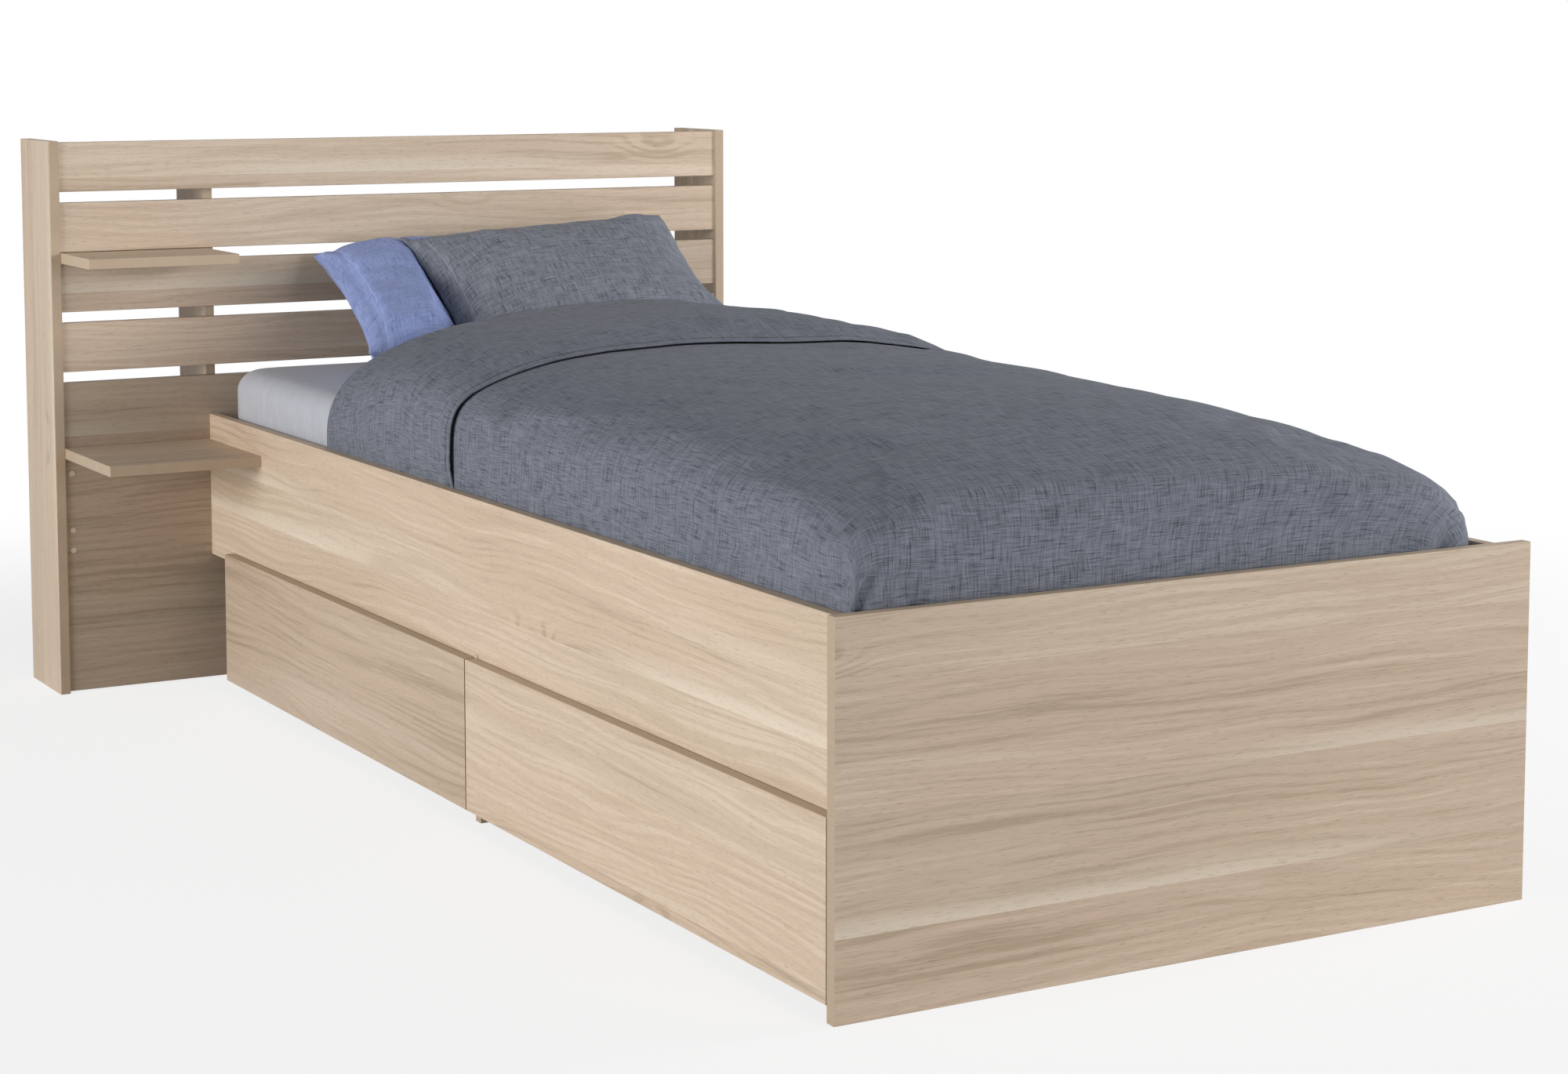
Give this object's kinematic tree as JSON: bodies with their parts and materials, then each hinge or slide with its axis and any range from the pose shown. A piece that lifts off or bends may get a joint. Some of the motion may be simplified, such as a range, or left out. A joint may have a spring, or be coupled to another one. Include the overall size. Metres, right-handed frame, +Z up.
{
  "type": "storage bed",
  "caption": "Oak-look storage bed with a slatted headboard, side shelves, castor drawers under one side, mattress and made-up bedding.",
  "frame": {"origin": "on the floor, at the centre of the bounding box", "axes": "+Y towards the headboard, +X to the right seen from the foot of the bed, +Z up"},
  "size_m": [1.208, 2.172, 0.88],
  "materials": {
    "oak_board": "light oak decor, matt",
    "slat_pine": "planed softwood",
    "drawer_base": "thin faced board",
    "zinc_steel": "zinc plated",
    "wheel_plastic": "moulded",
    "pale_plastic": "moulded",
    "mattress_ticking": "woven ticking",
    "sheet_cotton": "crinkled cotton",
    "grey_linen": "slub linen",
    "blue_linen": "slub linen"
  },
  "bodies": {
    "frame": {"foot_panel": "oak_board", "side_rail_left": "oak_board", "side_rail_right": "oak_board", "slat_cleat_left": "slat_pine", "slat_cleat_right": "slat_pine", "bed_slats": "slat_pine", "centre_divider": "oak_board", "drawer_stop": "pale_plastic", "rail_cams": "zinc_steel", "rail_cam_bolts": "zinc_steel", "headboard_side_left": "oak_board", "headboard_side_right": "oak_board", "headboard_slat_1": "oak_board", "headboard_slat_2": "oak_board", "headboard_slat_3": "oak_board", "headboard_slat_4": "oak_board", "headboard_lower_panel": "oak_board", "headboard_upright": "oak_board", "headboard_top_board": "oak_board", "upper_shelf": "oak_board", "upper_shelf_pins": "zinc_steel", "lower_shelf": "oak_board", "lower_shelf_screws": "zinc_steel", "cover_caps": "pale_plastic", "mattress": "mattress_ticking", "fitted_sheet": "sheet_cotton", "duvet": "grey_linen", "pillow_blue": "blue_linen", "pillow_grey": "grey_linen"},
    "drawer_foot": {"drawer_foot_front": "oak_board", "drawer_foot_sides": "oak_board", "drawer_foot_back": "oak_board", "drawer_foot_bottom": "drawer_base", "drawer_foot_castors": "zinc_steel", "drawer_foot_axles": "zinc_steel"},
    "drawer_head": {"drawer_head_front": "oak_board", "drawer_head_sides": "oak_board", "drawer_head_back": "oak_board", "drawer_head_bottom": "drawer_base", "drawer_head_castors": "zinc_steel", "drawer_head_axles": "zinc_steel"},
    "drawer_foot_wheel_1": {"drawer_foot_wheel_1": "wheel_plastic"},
    "drawer_foot_wheel_2": {"drawer_foot_wheel_2": "wheel_plastic"},
    "drawer_foot_wheel_3": {"drawer_foot_wheel_3": "wheel_plastic"},
    "drawer_foot_wheel_4": {"drawer_foot_wheel_4": "wheel_plastic"},
    "drawer_head_wheel_1": {"drawer_head_wheel_1": "wheel_plastic"},
    "drawer_head_wheel_2": {"drawer_head_wheel_2": "wheel_plastic"},
    "drawer_head_wheel_3": {"drawer_head_wheel_3": "wheel_plastic"},
    "drawer_head_wheel_4": {"drawer_head_wheel_4": "wheel_plastic"}
  },
  "joints": [
    {"name": "drawer_foot_slide", "type": "slide", "parent": "frame", "child": "drawer_foot", "axis": [-1, 0, 0], "range_m": [0, 0.6]},
    {"name": "drawer_head_slide", "type": "slide", "parent": "frame", "child": "drawer_head", "axis": [-1, 0, 0], "range_m": [0, 0.6]},
    {"name": "drawer_foot_wheel_1_spin", "type": "hinge", "parent": "drawer_foot", "child": "drawer_foot_wheel_1", "pos_m": [-0.296, -0.976, 0.018], "axis": [0, -1, 0], "range_deg": [0, 1920]},
    {"name": "drawer_foot_wheel_2_spin", "type": "hinge", "parent": "drawer_foot", "child": "drawer_foot_wheel_2", "pos_m": [-0.296, -0.217, 0.018], "axis": [0, -1, 0], "range_deg": [0, 1920]},
    {"name": "drawer_foot_wheel_3_spin", "type": "hinge", "parent": "drawer_foot", "child": "drawer_foot_wheel_3", "pos_m": [0.254, -0.976, 0.018], "axis": [0, -1, 0], "range_deg": [0, 1920]},
    {"name": "drawer_foot_wheel_4_spin", "type": "hinge", "parent": "drawer_foot", "child": "drawer_foot_wheel_4", "pos_m": [0.254, -0.217, 0.018], "axis": [0, -1, 0], "range_deg": [0, 1920]},
    {"name": "drawer_head_wheel_1_spin", "type": "hinge", "parent": "drawer_head", "child": "drawer_head_wheel_1", "pos_m": [-0.296, -0.03, 0.018], "axis": [0, -1, 0], "range_deg": [0, 1920]},
    {"name": "drawer_head_wheel_2_spin", "type": "hinge", "parent": "drawer_head", "child": "drawer_head_wheel_2", "pos_m": [-0.296, 0.729, 0.018], "axis": [0, -1, 0], "range_deg": [0, 1920]},
    {"name": "drawer_head_wheel_3_spin", "type": "hinge", "parent": "drawer_head", "child": "drawer_head_wheel_3", "pos_m": [0.254, -0.03, 0.018], "axis": [0, -1, 0], "range_deg": [0, 1920]},
    {"name": "drawer_head_wheel_4_spin", "type": "hinge", "parent": "drawer_head", "child": "drawer_head_wheel_4", "pos_m": [0.254, 0.729, 0.018], "axis": [0, -1, 0], "range_deg": [0, 1920]}
  ],
  "couplings": [
    {"joint": "drawer_foot_wheel_1_spin", "follows": "drawer_foot_slide", "rad_per_m": 55.556},
    {"joint": "drawer_foot_wheel_2_spin", "follows": "drawer_foot_slide", "rad_per_m": 55.556},
    {"joint": "drawer_foot_wheel_3_spin", "follows": "drawer_foot_slide", "rad_per_m": 55.556},
    {"joint": "drawer_foot_wheel_4_spin", "follows": "drawer_foot_slide", "rad_per_m": 55.556},
    {"joint": "drawer_head_wheel_1_spin", "follows": "drawer_head_slide", "rad_per_m": 55.556},
    {"joint": "drawer_head_wheel_2_spin", "follows": "drawer_head_slide", "rad_per_m": 55.556},
    {"joint": "drawer_head_wheel_3_spin", "follows": "drawer_head_slide", "rad_per_m": 55.556},
    {"joint": "drawer_head_wheel_4_spin", "follows": "drawer_head_slide", "rad_per_m": 55.556}
  ]
}
